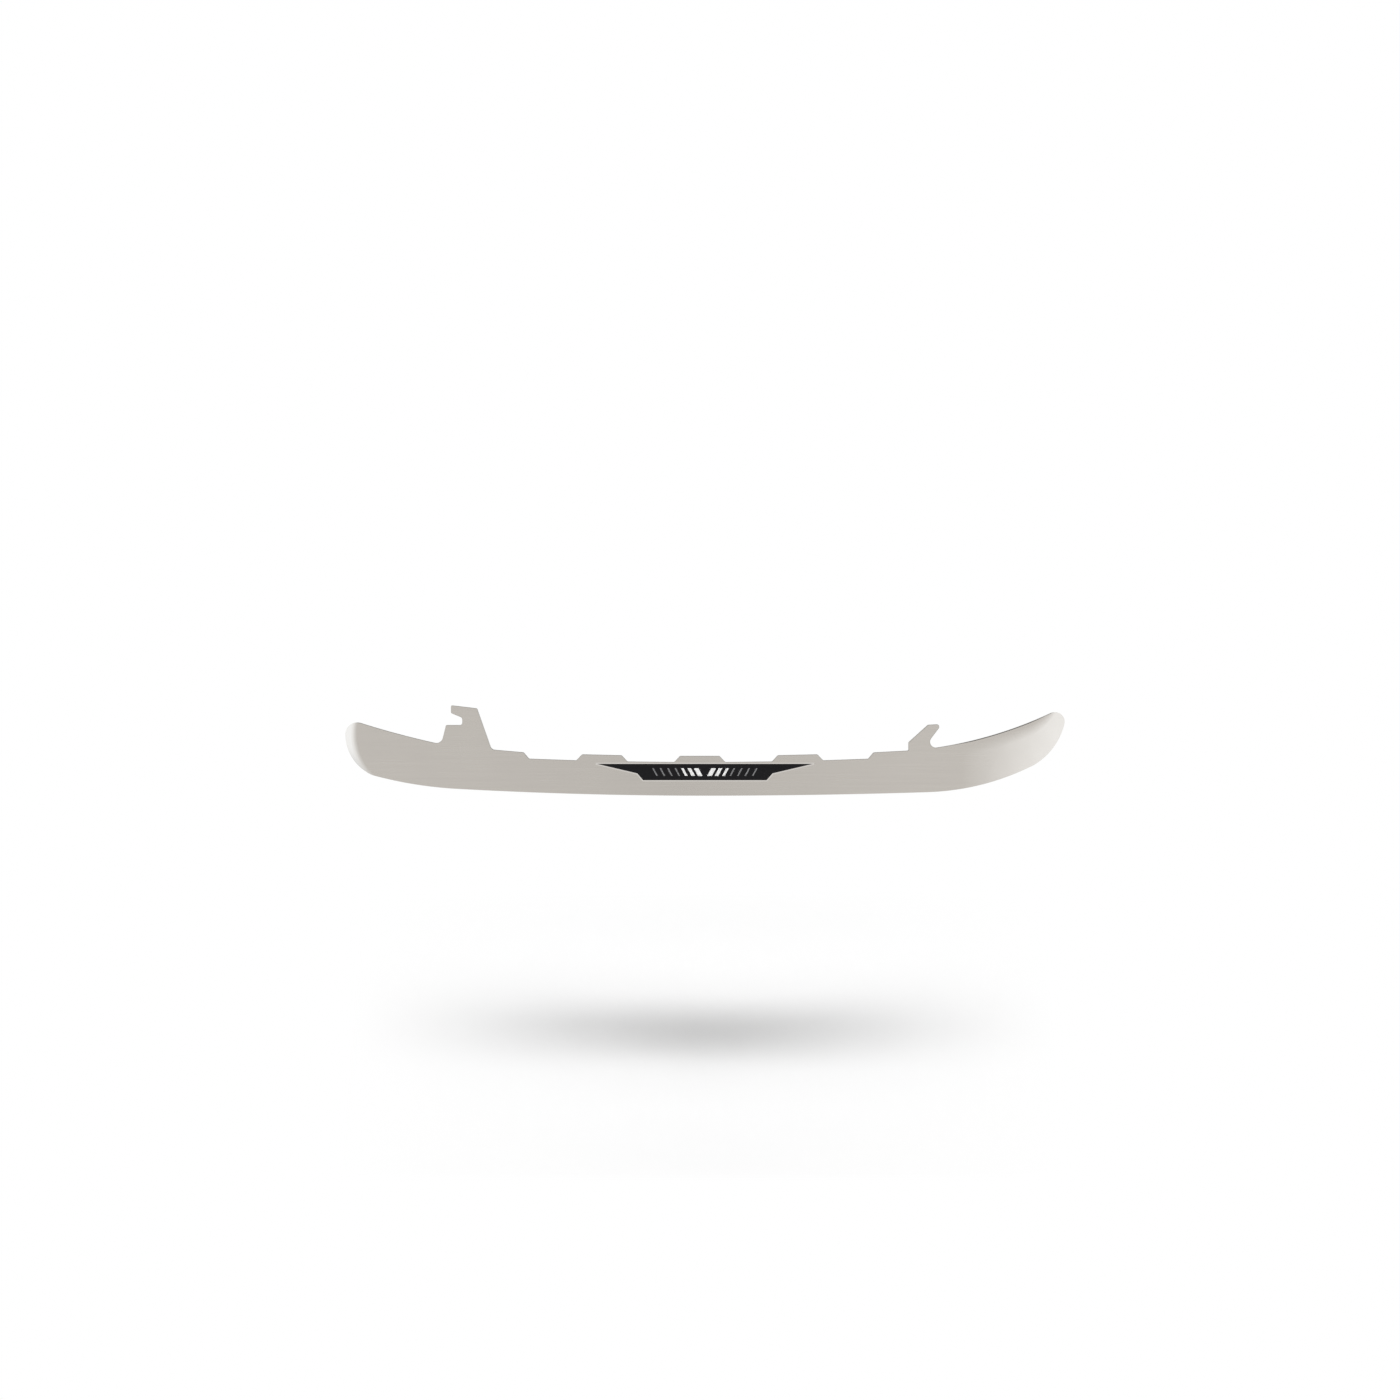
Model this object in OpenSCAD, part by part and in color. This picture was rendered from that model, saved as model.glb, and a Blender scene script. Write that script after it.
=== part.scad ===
// Hockey skate runner: a flat stamped steel blade with a printed label on each face.
// Millimetres. +X points to the toe, +Z up, and Y = 0 is the middle of the steel.
// The origin is at the middle of the length, on the lowest point of the running edge.
// Outlines are drawn as [x, z] points and extruded along Y.

/* [Blade] */
// Overall length from the heel end to the toe tip
overall_length = 280; // [260:1:320]
// Thickness of the steel
steel_thickness = 2.9; // [2.5:0.1:3.5]
// Height of the blade from its lowest point to the recess beside the middle tab
web_height = 13.05; // [11:0.05:14]
// Radius of the long curve that the recesses, tabs and shoulders of the top edge follow
top_sag_radius = 1650; // [1200:10:3000]
// Radius of the small rounds at tab, ramp and shoulder corners
edge_round = 0.8; // [0.3:0.1:1]

/* [Running edge] */
// Rocker radius from the middle towards the toe
toe_rocker_radius = 2743; // [2000:1:4000]
// Rocker radius from the middle towards the heel
heel_rocker_radius = 1750; // [1600:1:4000]
// Radius of the hollow ground along the running edge
hollow_radius = 12.7; // [9:0.1:25]

/* [Toe end] */
// Radius of the curve that lifts the running edge towards the toe
toe_sweep_radius = 100; // [80:1:120]
// Angle that this curve turns through
toe_sweep_angle = 23.4; // [18:0.1:28]
// Radius of the toe's nose
toe_nose_radius = 25.2; // [20:0.1:30]
// Steepest slope of the nose, where it meets the tip
toe_nose_slope = 77; // [65:1:88]
// Radius of the toe's tip
toe_tip_radius = 3.7; // [2.5:0.1:5]
// Slope of the toe's top edge at the tip
toe_top_slope = 25; // [22:0.5:28]
// Radius of the toe's concave top edge
toe_top_radius = 163; // [155:1:220]
// Radius of the ground patch that thins the toe
toe_grind_radius = 42.5; // [40:0.5:44]
// Distance of that patch's centre ahead of the toe tip
toe_grind_lead = 7; // [5:0.5:9]
// Depth of that patch's centre below the lowest point
toe_grind_drop = 8; // [6:0.5:10]
// Slope at the patch's rim, in millimetres of depth for each millimetre
toe_grind_rim_slope = 0.018; // [0.01:0.001:0.03]
// Growth of that slope for each millimetre inwards
toe_grind_growth = 0.0042; // [0.001:0.0001:0.005]

/* [Heel end] */
// Radius of the curve that lifts the running edge towards the heel
heel_sweep_radius = 158; // [130:1:200]
// Angle that this curve turns through
heel_sweep_angle = 11.3; // [8:0.1:14]
// Radius of the heel's lower corner
heel_corner_radius = 17; // [15:0.1:19]
// Radius of the heel's upper corner
heel_tip_radius = 4.6; // [3:0.1:6]
// Slope of the heel's top edge at the upper corner
heel_top_slope = 17.5; // [15:0.5:20]
// Radius of the heel's concave top edge
heel_top_radius = 340; // [300:5:500]
// Radius of the inner edge of the ground bevel round the heel
heel_bevel_radius = 22.7; // [21:0.1:26]
// Distance of the bevel's centre from the heel end
heel_bevel_setback = 26.6; // [25.6:0.1:28]
// Height of the bevel's centre above the lowest point
heel_bevel_height = 24; // [22:0.5:26]
// Slope of the bevel against the blade's face
heel_bevel_angle = 12; // [6:1:15]

/* [Heel post] */
// Distance from the heel end to the post's rear foot
post_setback = 37.4; // [34:0.1:42]
// Width of the post at its feet
post_foot_width = 19.5; // [17:0.1:23]
// Height of the top of the post's rear lip
post_height = 35.2; // [34:0.1:38]
// Drop of the post's top edge from the lip to the front
post_top_drop = 1.2; // [0.2:0.1:2]
// Forward lean of the post's rear face
post_rear_lean = 14; // [8:0.5:18]
// Rearward lean of the post's front face
post_front_lean = 19.4; // [12:0.1:22]
// Radius at the post's rear foot
post_rear_fillet = 2.7; // [1:0.1:3.5]
// Radius at the post's front foot
post_front_fillet = 2; // [1:0.1:3]
// Height of the shelf under the notch
notch_shelf_height = 27.5; // [26:0.1:28.5]
// Distance from the post's rear foot to the root of the notch
notch_root_inset = 8.2; // [6:0.1:9]
// Height of the notch at its root
notch_gap = 2.9; // [2.2:0.1:3.4]
// Radius at the top of the notch's root
notch_root_radius = 1.3; // [0.4:0.1:1.6]
// Radius at the bottom of the notch's root
notch_floor_radius = 0.9; // [0.4:0.1:1]
// Upward slope of the lip's underside, towards the mouth
lip_slope = 22.7; // [10:0.1:28]
// Distance from the post's rear foot to the lip's end
lip_inset = 3.8; // [3:0.1:4.5]
// Radius of small corners on the post
post_round = 0.5; // [0.2:0.1:0.6]

/* [Toe hook] */
// Distance from the toe tip to the hook's rear face
hook_setback = 60.7; // [56:0.1:64]
// Distance from the hook's rear face to the corner of its throat
hook_root_width = 5.3; // [4.5:0.1:6]
// Distance from the hook's rear face to the corner of its nose
hook_reach = 13; // [12:0.1:14.5]
// Height of the hook's top above the lowest point
hook_height = 27.9; // [26:0.1:30]
// Height of the top of the hook's upright rear face
hook_rear_height = 20.75; // [19:0.05:22]
// Run of the hook's sloping back
hook_back_run = 7.6; // [6.5:0.1:8]
// Fall of the hook's top towards its back
hook_top_fall = 0.3; // [0:0.1:0.6]
// Radius of the hook's throat
throat_radius = 2.3; // [1.5:0.1:2.6]
// Radius of the hook's nose
hook_nose_radius = 1; // [0.5:0.1:1.2]

/* [Tabs and shoulders] */
// Number of tabs on the top edge
tab_count = 3; // [1:1:3]
// Distance between tab centres
tab_pitch = 38.1; // [30:0.1:39]
// Distance of the tab row's centre behind the middle of the length
tab_row_setback = 2; // [0:0.1:4]
// Length of a tab at its foot
tab_foot = 19.9; // [16:0.1:24]
// Length of a tab at its top
tab_top = 15.4; // [10:0.1:15.6]
// Height of a tab above the recess beside it
tab_height = 2.4; // [1.5:0.1:3]
// Length of the heel shoulder, from its ramp to the post's front foot
heel_shoulder = 12.5; // [8:0.1:15]
// Rise of the heel shoulder towards the post
heel_shoulder_slope = 5; // [0:0.1:6]
// Length of the toe shoulder, from its ramp to the hook
toe_shoulder = 13.6; // [10:0.1:16]
// Rise of the toe shoulder towards the hook
toe_shoulder_slope = 3; // [0:0.1:5]
// Length of the ramp at the end of a shoulder
shoulder_ramp = 2.1; // [1.5:0.1:3]

/* [Labels] */
// Length of the printed panel along its top
label_length = 84; // [70:0.5:100]
// Height of the printed panel
label_height = 6.35; // [5:0.05:7]
// Distance from the recess of the top edge down to the panel
label_drop = 0.65; // [0.5:0.05:1.5]
// Length of the panel's full-depth middle along its foot
label_foot = 48; // [46:0.5:54]
// Distance that each end of the panel steps in below its knee
label_step = 2.3; // [0.5:0.1:4]
// Depth of the panel at its knees
label_knee_depth = 3.7; // [2.5:0.1:4.5]
// Clear film that shows round the panel as a thin line
film_margin = 0.45; // [0.2:0.05:0.5]
// Thickness of the film
film_thickness = 0.08; // [0.05:0.01:0.2]
// Thickness of each layer of ink
ink_thickness = 0.04; // [0.02:0.01:0.1]
// Number of white bars on each side of the panel's middle
white_bar_count = 3; // [1:1:3]
// Number of grey bars outside them, on each side
grey_bar_count = 4; // [1:1:4]
// Distance from the panel's middle to the foot of the first bar
bar_start = 0.9; // [0.5:0.1:1.2]
// Distance between bars, inner edge to inner edge
bar_pitch = 2.9; // [2.7:0.1:2.9]
// Width of a grey bar
grey_bar_width = 0.6; // [0.3:0.05:1]
// Width of the narrowest white bar
white_bar_width = 1; // [0.5:0.05:1.2]
// Growth in width from one white bar to the next, towards the middle
white_bar_growth = 0.4; // [0:0.05:0.5]
// Height of the bars
bar_height = 3; // [2:0.1:3.2]
// Outward lean of the bars
bar_lean = 28; // [0:1:32]

/* [Hidden] */

// Curves are drawn with chords that stray no further than this from the true arc.
chord_error = 0.004;
// Room that cutting shapes have beyond the steel
cut_room = 2;
// A rounded inside corner keeps this many of its radii free on a curved neighbour.
fillet_room = 1.5;
// Points across the hollow
hollow_points = 7;
// Reach of the grinding wheel past each face of the steel
hollow_overhang = 0.3;
// Height that grinding the hollow takes off the two edges
hollow_edge_loss = 0.02;
// Length that the grinding wheel runs on, straight, past each end of the hollow
hollow_run_out = 8;
// Rings of the toe's ground patch
grind_rings = 20;
// Share of half the steel's thickness that the patch takes at most
grind_limit = 0.7;
// The heel end turns up until it is upright.
heel_corner_slope = 90;

half_length = overall_length / 2;
half_steel = steel_thickness / 2;
tab_row_x = -tab_row_setback;
post_rear_x = post_setback - half_length;
post_front_x = post_rear_x + post_foot_width;
hook_rear_x = half_length - hook_setback;
hook_nose_x = hook_rear_x + hook_reach;
throat_x = hook_rear_x + hook_root_width;
label_top_z = web_height - label_drop;
bar_shift = bar_height * tan(bar_lean);

// The two ends of the blade have the same kinds of curve, listed in this order:
// rocker, sweep, nose and tip on the way up, and the top edge on the way back.
ROCKER = 0;
SWEEP = 1;
SWEEP_ANGLE = 2;
NOSE = 3;
NOSE_SLOPE = 4;
TIP = 5;
TOP_SLOPE = 6;
TOP = 7;
TOP_END = 8;
TOE = [toe_rocker_radius, toe_sweep_radius, toe_sweep_angle, toe_nose_radius, toe_nose_slope,
       toe_tip_radius, toe_top_slope, toe_top_radius, hook_nose_x];
HEEL = [heel_rocker_radius, heel_sweep_radius, heel_sweep_angle, heel_corner_radius, heel_corner_slope,
        heel_tip_radius, heel_top_slope, heel_top_radius,
        fillet_room * post_rear_fillet - post_rear_x];

function last(list) = list[len(list) - 1];
function unit(v) = v / norm(v);
function reversed(list) = [for (i = [len(list) - 1 : -1 : 0]) list[i]];
function mirrored(points) = [for (p = reversed(points)) [-p.x, p.y]];

// Chords that an arc needs
function arc_steps(radius, sweep) =
    max(2, ceil(abs(sweep) * PI / 180 * sqrt(abs(radius) / (8 * chord_error))));

// Points of an arc that leaves a point on a heading, without that point.
// A left turn has a positive radius and sweep, and a right turn has negative ones.
function arc(from, heading, radius, sweep) =
    let (n = arc_steps(radius, sweep))
    [for (i = [1 : n])
        let (a = heading + sweep * i / n)
        from + radius * [sin(a) - sin(heading), cos(heading) - cos(a)]];

// Points of tangent arcs, each [radius, sweep], one after the other
function arc_chain(from, heading, arcs, i = 0) =
    i == len(arcs) ? [] :
    let (points = arc(from, heading, arcs[i][0], arcs[i][1]))
    concat(points, arc_chain(last(points), heading + arcs[i][1], arcs, i + 1));

// Sweep of an end's rocker arc with which its tip reaches exactly half the overall length
function rocker_sweep(end) =
    let (tighter = end[SWEEP] - end[NOSE],
         a = end[ROCKER] - end[SWEEP] + tighter * cos(end[SWEEP_ANGLE]),
         b = tighter * sin(end[SWEEP_ANGLE]),
         c = half_length - end[TIP] - (end[NOSE] - end[TIP]) * sin(end[NOSE_SLOPE]))
    asin(c / norm([a, b])) - atan2(b, a);

// Slope left at the inner end of an end's concave top edge
function top_end_slope(end) =
    let (start_x = half_length - end[TIP] * (1 + sin(end[TOP_SLOPE])))
    asin(sin(end[TOP_SLOPE]) - (start_x - end[TOP_END]) / end[TOP]);

// The part of an end that is ground with the hollow
function running_path(end) =
    arc_chain([0, 0], 0, [[end[ROCKER], rocker_sweep(end)], [end[SWEEP], end[SWEEP_ANGLE]]]);

// The rest of an end: round its nose and tip, and back along its top edge
function rising_path(end) =
    let (heading = rocker_sweep(end) + end[SWEEP_ANGLE])
    arc_chain(last(running_path(end)), heading,
              [[end[NOSE], end[NOSE_SLOPE] - heading],
               [end[TIP], 180 + end[TOP_SLOPE] - end[NOSE_SLOPE]],
               [-end[TOP], top_end_slope(end) - end[TOP_SLOPE]]]);

// Point where the top edge of an end, carried straight on from its last point, reaches x
function carried_on(end, x) =
    let (p = last(rising_path(end)))
    [x, p.y + (x - p.x) * tan(top_end_slope(end))];

// Rounded corner of a path at q, between its neighbours p and s
function corner(p, q, s, radius) =
    let (u = unit(p - q),
         v = unit(s - q),
         half = acos(u * v) / 2,
         centre = q + unit(u + v) * radius / sin(half),
         start = q + u * radius / tan(half) - centre,
         turn = sign(cross(q - p, s - q)) * (180 - 2 * half),
         heading = atan2(start.y, start.x),
         n = arc_steps(radius, turn))
    [for (i = [0 : n])
        let (a = heading + turn * i / n)
        centre + radius * [cos(a), sin(a)]];

// Path through corners, each [x, z, radius]
function rounded_path(corners) =
    [for (i = [1 : len(corners) - 2])
        let (at = [for (k = [-1 : 1]) [corners[i + k].x, corners[i + k].y]])
        each corner(at[0], at[1], at[2], corners[i][2])];

// Height of the long curve that the top edge's recesses follow
function recess_z(x) =
    web_height + top_sag_radius - sqrt(top_sag_radius ^ 2 - (x - tab_row_x) ^ 2);

// Corners of one tab, from its toe side to its heel side
function tab_corners(x) =
    let (foot = tab_foot / 2, top = tab_top / 2)
    [for (c = [[foot, 0], [top, tab_height], [-top, tab_height], [-foot, 0]])
        [x + c.x, recess_z(x + c.x) + c.y, edge_round]];

// Corners of the hook and the toe shoulder, from the toe backwards
function hook_corners() =
    let (throat = carried_on(TOE, throat_x),
         ramp_x = hook_rear_x - toe_shoulder,
         ramp_z = recess_z(ramp_x) + tab_height)
    [[throat.x, throat.y, throat_radius],
     [hook_nose_x, hook_height, hook_nose_radius],
     [hook_rear_x + hook_back_run, hook_height - hook_top_fall, edge_round],
     [hook_rear_x, hook_rear_height, post_round],
     [hook_rear_x, ramp_z + toe_shoulder * tan(toe_shoulder_slope), post_round],
     [ramp_x, ramp_z, edge_round],
     [ramp_x - shoulder_ramp, recess_z(ramp_x - shoulder_ramp), edge_round]];

// Corners of the heel shoulder and the post, from the toe backwards
function post_corners() =
    let (ramp_x = post_front_x + heel_shoulder,
         ramp_z = recess_z(ramp_x) + tab_height,
         front_z = ramp_z + heel_shoulder * tan(heel_shoulder_slope),
         top_front_z = post_height - post_top_drop,
         root_x = post_rear_x + notch_root_inset,
         root_z = notch_shelf_height + notch_gap,
         lip_x = post_rear_x + lip_inset,
         rear = carried_on(HEEL, -post_rear_x))
    [[ramp_x + shoulder_ramp, recess_z(ramp_x + shoulder_ramp), edge_round],
     [ramp_x, ramp_z, edge_round],
     [post_front_x, front_z, post_front_fillet],
     [post_front_x - (top_front_z - front_z) * tan(post_front_lean), top_front_z, post_round],
     [lip_x, post_height, post_round],
     [lip_x, root_z + (root_x - lip_x) * tan(lip_slope), post_round],
     [root_x, root_z, notch_root_radius],
     [root_x, notch_shelf_height, notch_floor_radius],
     [post_rear_x + (notch_shelf_height - rear.y) * tan(post_rear_lean), notch_shelf_height, post_round],
     [post_rear_x, rear.y, post_rear_fillet]];

// Closed outline of the blade, round from the lowest point by way of the toe
function blade_outline() =
    let (toe = rising_path(TOE),
         heel = mirrored(rising_path(HEEL)),
         tabs = [for (i = [tab_count - 1 : -1 : 0])
                    each tab_corners(tab_row_x + (i - (tab_count - 1) / 2) * tab_pitch)],
         top = concat([last(toe)], hook_corners(), tabs, post_corners(), [heel[0]]))
    concat([[0, 0]], running_path(TOE), toe, rounded_path(top), heel, mirrored(running_path(HEEL)));

// Line of the running edge that carries the hollow, with a straight run-out at both ends
function hollow_path() =
    let (points = concat(mirrored(running_path(HEEL)), [[0, 0]], running_path(TOE)),
         n = len(points))
    concat([points[0] + unit(points[0] - points[1]) * hollow_run_out],
           points,
           [points[n - 1] + unit(points[n - 1] - points[n - 2]) * hollow_run_out]);

// Grinding wheel's path: a bar with a round crest, swept along the running edge
module hollow_cut() {
    path = hollow_path();
    reach = half_steel + hollow_overhang;
    crest = [for (i = [0 : hollow_points - 1])
                let (y = -reach + 2 * reach * i / (hollow_points - 1))
                [y, hollow_edge_loss + sqrt(hollow_radius ^ 2 - y ^ 2)
                    - sqrt(hollow_radius ^ 2 - half_steel ^ 2)]];
    section = concat(crest, [[reach, -cut_room], [-reach, -cut_room]]);
    k = len(section);
    n = len(path);
    rings = [for (i = [0 : n - 1])
                let (along = unit(path[min(i + 1, n - 1)] - path[max(i - 1, 0)]))
                for (s = section)
                    [path[i].x - along.y * s.y, s.x, path[i].y + along.x * s.y]];
    sides = [for (i = [0 : n - 2], j = [0 : k - 1])
                let (a = i * k + j, b = i * k + (j + 1) % k)
                each [[a, b, b + k], [a, b + k, a + k]]];
    caps = [for (j = [1 : k - 2])
                each [[0, j + 1, j], [(n - 1) * k, (n - 1) * k + j, (n - 1) * k + j + 1]]];
    polyhedron(points = rings, faces = concat(sides, caps));
}

// Turns a profile of [distance, depth] points about an axis along Y, on the face at -Y
module face_grind(x, z, profile) {
    translate([x, -half_steel, z]) rotate([-90, 0, 0]) rotate_extrude() polygon(profile);
}

// Both faces get the same cut.
module both_faces() {
    children();
    mirror([0, 1, 0]) children();
}

// Dished patch that thins the toe towards its nose
module toe_grind() {
    dish = [for (i = [0 : grind_rings])
               let (inwards = toe_grind_radius * (1 - i / grind_rings))
               [toe_grind_radius - inwards,
                min(toe_grind_rim_slope * inwards + toe_grind_growth / 2 * inwards ^ 2,
                    grind_limit * half_steel)]];
    face_grind(half_length + toe_grind_lead, -toe_grind_drop,
               concat([[0, -cut_room]], dish, [[toe_grind_radius, -cut_room]]));
}

// Cone that leaves a crescent bevel round the heel end, on the heel side of its centre alone
module heel_bevel() {
    outer = heel_bevel_setback + cut_room;
    centre_x = heel_bevel_setback - half_length;
    intersection() {
        face_grind(centre_x, heel_bevel_height,
                   [[heel_bevel_radius, -cut_room],
                    [heel_bevel_radius, 0],
                    [outer, (outer - heel_bevel_radius) * tan(heel_bevel_angle)],
                    [outer, -cut_room]]);
        translate([centre_x - outer, -half_steel - cut_room, heel_bevel_height - outer])
            cube([outer, steel_thickness + cut_room, 2 * outer]);
    }
}

module runner() {
    color([0.74, 0.72, 0.70]) difference() {
        rotate([90, 0, 0]) linear_extrude(height = steel_thickness, center = true) polygon(blade_outline());
        hollow_cut();
        both_faces() toe_grind();
        both_faces() heel_bevel();
    }
}

// Outline of the printed panel, round from the toe-side tip by way of its top edge
function label_outline() =
    let (foot = label_foot / 2,
         knee_z = label_top_z - label_knee_depth,
         foot_z = label_top_z - label_height)
    [[label_length / 2, label_top_z], [-label_length / 2, label_top_z],
     [-foot - label_step, knee_z], [-foot, foot_z],
     [foot, foot_z], [foot + label_step, knee_z]];

// Outline moved outwards by a margin, with square ends at corners too sharp to be mitred
function outset(points, margin) =
    let (n = len(points))
    [for (i = [0 : n - 1])
        let (q = points[i],
             t1 = unit(q - points[(i + n - 1) % n]),
             t2 = unit(points[(i + 1) % n] - q),
             n1 = [t1.y, -t1.x],
             n2 = [t2.y, -t2.x])
        each (t1 * t2 < 0 ? [q + margin * (n1 + t1), q + margin * (n2 - t2)]
                          : [q + margin * (n1 + n2) / (1 + n1 * n2)])];

// One layer of a label: an outline on top of the layers below it, on the face at -Y
module label_layer(below, thickness) {
    translate([0, -half_steel - below, 0]) rotate([90, 0, 0]) linear_extrude(height = thickness) children();
}

// One slanted bar, with its lower inner corner at x
module bar(x, width) {
    low = label_top_z - (label_height + bar_height) / 2;
    high = low + bar_height;
    polygon([[x, low], [x + width, low], [x + width + bar_shift, high], [x + bar_shift, high]]);
}

// The toe half and the heel half of a panel have the same bars.
module both_halves() {
    children();
    mirror([1, 0]) children();
}

module label_film() {
    color([0.86, 0.86, 0.85]) label_layer(0, film_thickness) polygon(outset(label_outline(), film_margin));
}

module label_ink() {
    color([0.13, 0.13, 0.145]) label_layer(film_thickness, ink_thickness) polygon(label_outline());
}

module label_white_bars() {
    color([0.92, 0.92, 0.92]) label_layer(film_thickness + ink_thickness, ink_thickness)
        both_halves() for (i = [0 : white_bar_count - 1])
            bar(bar_start + i * bar_pitch, white_bar_width + (white_bar_count - 1 - i) * white_bar_growth);
}

module label_grey_bars() {
    color([0.46, 0.46, 0.47]) label_layer(film_thickness + ink_thickness, ink_thickness)
        both_halves() for (i = [0 : grey_bar_count - 1])
            bar(bar_start + (white_bar_count + i) * bar_pitch, grey_bar_width);
}

module label_film_right() { label_film(); }
module label_ink_right() { label_ink(); }
module label_grey_bars_right() { label_grey_bars(); }
module label_white_bars_right() { label_white_bars(); }
module label_film_left() { mirror([0, 1, 0]) label_film(); }
module label_ink_left() { mirror([0, 1, 0]) label_ink(); }
module label_grey_bars_left() { mirror([0, 1, 0]) label_grey_bars(); }
module label_white_bars_left() { mirror([0, 1, 0]) label_white_bars(); }

runner();
label_film_right();
label_ink_right();
label_grey_bars_right();
label_white_bars_right();
label_film_left();
label_ink_left();
label_grey_bars_left();
label_white_bars_left();
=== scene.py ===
"""Looks of a hockey skate runner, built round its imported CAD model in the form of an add-on."""

from contextlib import contextmanager
from math import cos, pi, radians, sin, sqrt, tan
from typing import NamedTuple

import bmesh
import bpy
from bpy.props import FloatProperty, FloatVectorProperty, PointerProperty
from bpy.types import Operator, Panel, PropertyGroup
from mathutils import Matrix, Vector


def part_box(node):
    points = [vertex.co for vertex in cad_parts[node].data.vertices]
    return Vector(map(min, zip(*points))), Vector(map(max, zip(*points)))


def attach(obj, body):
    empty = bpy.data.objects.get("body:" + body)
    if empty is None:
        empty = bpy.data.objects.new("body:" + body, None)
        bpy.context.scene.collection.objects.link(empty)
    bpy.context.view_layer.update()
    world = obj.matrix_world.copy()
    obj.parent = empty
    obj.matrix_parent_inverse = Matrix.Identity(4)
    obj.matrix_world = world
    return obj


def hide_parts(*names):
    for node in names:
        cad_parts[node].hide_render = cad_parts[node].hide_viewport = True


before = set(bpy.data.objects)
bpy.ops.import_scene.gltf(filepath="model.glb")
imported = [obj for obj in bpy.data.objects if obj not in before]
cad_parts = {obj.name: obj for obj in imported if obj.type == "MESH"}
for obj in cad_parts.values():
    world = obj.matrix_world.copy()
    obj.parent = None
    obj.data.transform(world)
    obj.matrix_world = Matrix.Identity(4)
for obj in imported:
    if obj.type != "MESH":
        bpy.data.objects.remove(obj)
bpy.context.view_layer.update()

bl_info = {
    "name": "Skate Runner",
    "version": (1, 0, 0),
    "blender": (4, 5, 0),
    "location": "3D View > Sidebar > Skate Runner",
    "description": "Models the finish of a hockey skate runner, its labels and its studio",
    "category": "Object",
}

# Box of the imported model, before anything is added to it
# Half the steel's thickness
HALF_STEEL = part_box("runner")[1].y

RIGHT, LEFT = -1, 1
LABEL_SIDES = ("right", "left")
BLACK = (0.0, 0.0, 0.0, 1.0)

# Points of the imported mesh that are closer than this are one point.
SAME_POINT = 1e-6
# Seams that grinding leaves are narrower than this.
SEAM_GAP = 2e-5
# Outline steps shorter than this are left out of the plate.
SHORTEST_STEP = 3e-5
# Walls that turn by less than this lie in one plane.
SAME_PLANE = radians(0.05)
# Edges that turn by more than this stay crisp.
CRISP_EDGE = radians(24)
# The section is taken a little off the middle, clear of the points of the hollow's crest.
SECTION_Y = 0.0002

# What a face is shows in how far its normal lies along Y. Flat faces are above this.
FLAT_TURN = 0.999
# Walls and broken edges are below this.
STAMPED_TURN = 0.9
# Walls alone are below this.
WALL_TURN = 0.5
# Walls of the running edge are below this, and below the next one before the hollow is ground.
HOLLOW_TURN = 0.2
SQUARE_TURN = 0.1
# Walls that face down more than this belong to the running edge.
RUNNING_TURN = -0.3
# Walls that face down more than this are ground hollow.
GROUND_TURN = -0.87
# Only the upper outline is higher than this, between the heel and the toe's nose.
UPPER_HEIGHT = 0.0175
UPPER_REACH = 0.110

# The broken edge ends where the heel's bevel and the toe's tip begin.
BROKEN_EDGE_SPAN = (-0.1355, 0.1340)
# The toe's edge break grows and shrinks at these places along the blade.
TOE_EDGE_SPANS = ((0.0985, 0.1325), (0.1005, 0.1305), (0.1025, 0.1285))
# Lines across the hollow, as shares of half the steel's thickness
HOLLOW_LINES = (-0.75, -0.5, -0.25, 0.0, 0.25, 0.5, 0.75)
# Room that grinding tools have beyond the steel
TOOL_ROOM = 0.002
TOOL_SIDES = 360
TOE_RINGS = 12
# Share of the toe patch's radius that its rings cover
TOE_RING_SHARE = 0.45
# Widths that the heel's bevel rolls over, as shares of its roll
HEEL_ROLL_STEPS = (1.0, 0.8, 0.6, 0.4, 0.2, 0.0)
# Places of the walls' finishes among the steel's: the stamped edge and the hollow
WALL_FINISHES = (1, 2)

# Sockets of a Mix node that belong to its colours
MIX_FACTOR, MIX_LOW, MIX_HIGH, MIX_RESULT = 0, 6, 7, 2
# Noise varies round this.
NOISE_MIDDLE = 0.5
# How fine the noises are along each axis, for each metre
GRINDING_LINES = (45.0, 2500.0, 9000.0)
LONG_BANDS = (14.0, 300.0, 1500.0)
FACE_CLOUDS = (60.0, 60.0, 90.0)
GROUND_CLOUDS = (160.0, 160.0, 160.0)
SHEAR_MARKS = (5000.0, 160.0, 5000.0)
TUMBLED_PITS = (2600.0, 2600.0, 2600.0)
WHEEL_MARKS = (25.0, 9000.0, 400.0)
FILM_LINES = (60.0, 2500.0, 7000.0)
PRINT_MOTTLE = (700.0, 700.0, 700.0)
INK_PEEL = (5200.0, 5200.0, 5200.0)
# How fine the lines of a round ground place are, for each metre from its centre
RING_LINES = 7000.0
# Depth of most finishes' relief
RELIEF = 0.00001
# Roughness of a ground place, and what buffing takes off it
GROUND_ROUGHNESS = 0.24
POLISH_GAIN = 0.05

# The face's colour is lighter by these shares at its ends than in the middle, a painted reflection, and gets
# so on these ways along it.
TOE_RISE = 0.085
TOE_RISE_WAY = (-0.010, 0.080)
HEEL_RISE = 0.05
HEEL_RISE_WAY = (-0.010, -0.090)
# Way along the blade on which the toe's buffing and its painted highlight grow
TOE_SHINE_WAY = (0.100, 0.137)
# Width of the dull rim under the toe's top edge, which the painted highlight leaves out, and of the blend
# from it into the highlight
TOE_RIM = 0.0012
TOE_RIM_BLEND = 0.004
# Way along the blade on which the rim narrows, by how much, and the power that makes it do so late
TOE_RIM_WAY = (0.120, 0.136)
TOE_RIM_DROP = 0.0042
TOE_RIM_POWER = 4.0

FLOOR_SIZE = 8.0
# Steps of the floor's rise
RISE_STEPS = 24
# How far the floor takes the shadow from its middle, and the way on which it then turns white
SHADOW_ALONG = (0.010, 0.140)
SHADOW_ACROSS = (0.016, 0.030)
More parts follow.
